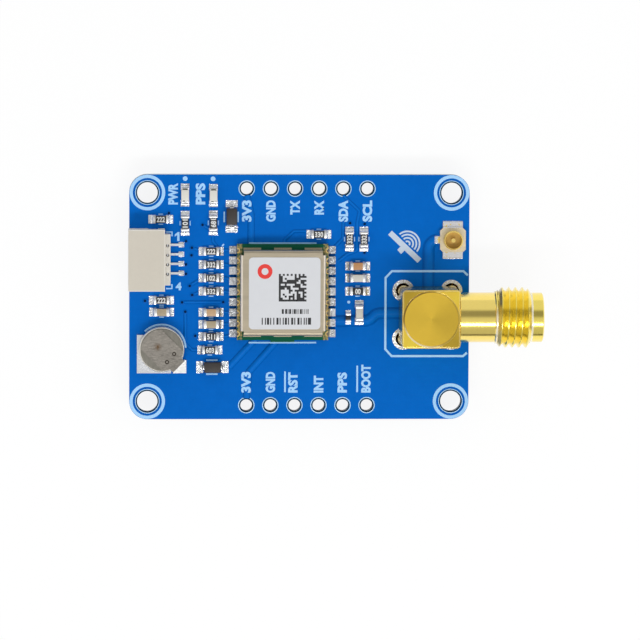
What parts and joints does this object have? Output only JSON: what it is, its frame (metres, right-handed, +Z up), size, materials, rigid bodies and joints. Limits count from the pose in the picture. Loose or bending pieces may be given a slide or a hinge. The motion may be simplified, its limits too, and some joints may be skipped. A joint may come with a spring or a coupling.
{
  "type": "gps module",
  "caption": "Satellite receiver breakout board: blue circuit board with a shielded receiver, right-angle coaxial antenna jack, small coaxial receptacle, plug socket and backup battery",
  "frame": {"origin": "middle of the mounting-hole pattern on the underside of the board", "axes": "+X out of the antenna jack along the board, +Y across it, +Z up from the component side"},
  "size_m": [0.0433, 0.0258, 0.0096],
  "materials": {
    "board": "blue solder mask on glass epoxy, satin gloss",
    "tin": "bright tin",
    "module_board": "green solder mask",
    "gilt": "gilt",
    "shield": "brushed nickel silver",
    "label": "matt white",
    "black_plastic": "black moulding compound",
    "oscillator_can": "plated lid",
    "filter_ceramic": "fired ceramic",
    "socket_plastic": "beige moulding",
    "battery_steel": "stainless steel",
    "ptfe": "white insulator",
    "coax_plastic": "cream moulding",
    "resistor": "black overcoat on ceramic, tinned ends",
    "capacitor": "tan fired ceramic, tinned ends",
    "inductor": "pale grey ceramic, tinned ends",
    "lamp": "milky lens on a white base"
  },
  "bodies": {
    "root": {"circuit_board": "board", "mount_linings": "tin", "header_linings": "tin", "jack_linings": "tin", "module_board": "module_board", "module_linings": "gilt", "module_shield": "shield", "module_label": "label", "receiver_chip": "black_plastic", "oscillator": "oscillator_can", "band_filter": "filter_ceramic", "preamplifier": "black_plastic", "module_solder": "tin", "socket_housing": "socket_plastic", "socket_anchors": "tin", "battery_cell": "battery_steel", "battery_upper_tab": "battery_steel", "battery_lower_tab": "battery_steel", "jack_block": "gilt", "jack_barrel": "gilt", "jack_insulator": "ptfe", "jack_contact": "gilt", "jack_pin": "gilt", "jack_bead": "ptfe", "jack_cap": "gilt", "jack_solder": "tin", "coax_base": "coax_plastic", "coax_shell": "gilt", "coax_contact": "gilt", "chip_solder": "tin", "connector_solder": "tin", "socket_contact_1": "tin", "socket_contact_2": "tin", "socket_contact_3": "tin", "socket_contact_4": "tin", "resistor_r1": "resistor", "resistor_r2": "resistor", "resistor_r3": "resistor", "resistor_r4": "resistor", "resistor_r5": "resistor", "resistor_r6": "resistor", "resistor_r7": "resistor", "resistor_r8": "resistor", "resistor_r9": "resistor", "resistor_r10": "resistor", "resistor_r11": "resistor", "resistor_r12": "resistor", "resistor_r13": "resistor", "resistor_r14": "resistor", "capacitor_c1": "capacitor", "capacitor_c2": "capacitor", "capacitor_c3": "capacitor", "capacitor_c4": "capacitor", "inductor_l1": "inductor", "inductor_l2": "inductor", "arrester_d3": "black_plastic", "diode_d1": "black_plastic", "diode_d2": "black_plastic", "power_lamp": "lamp", "pulse_lamp": "lamp"}
  },
  "joints": []
}
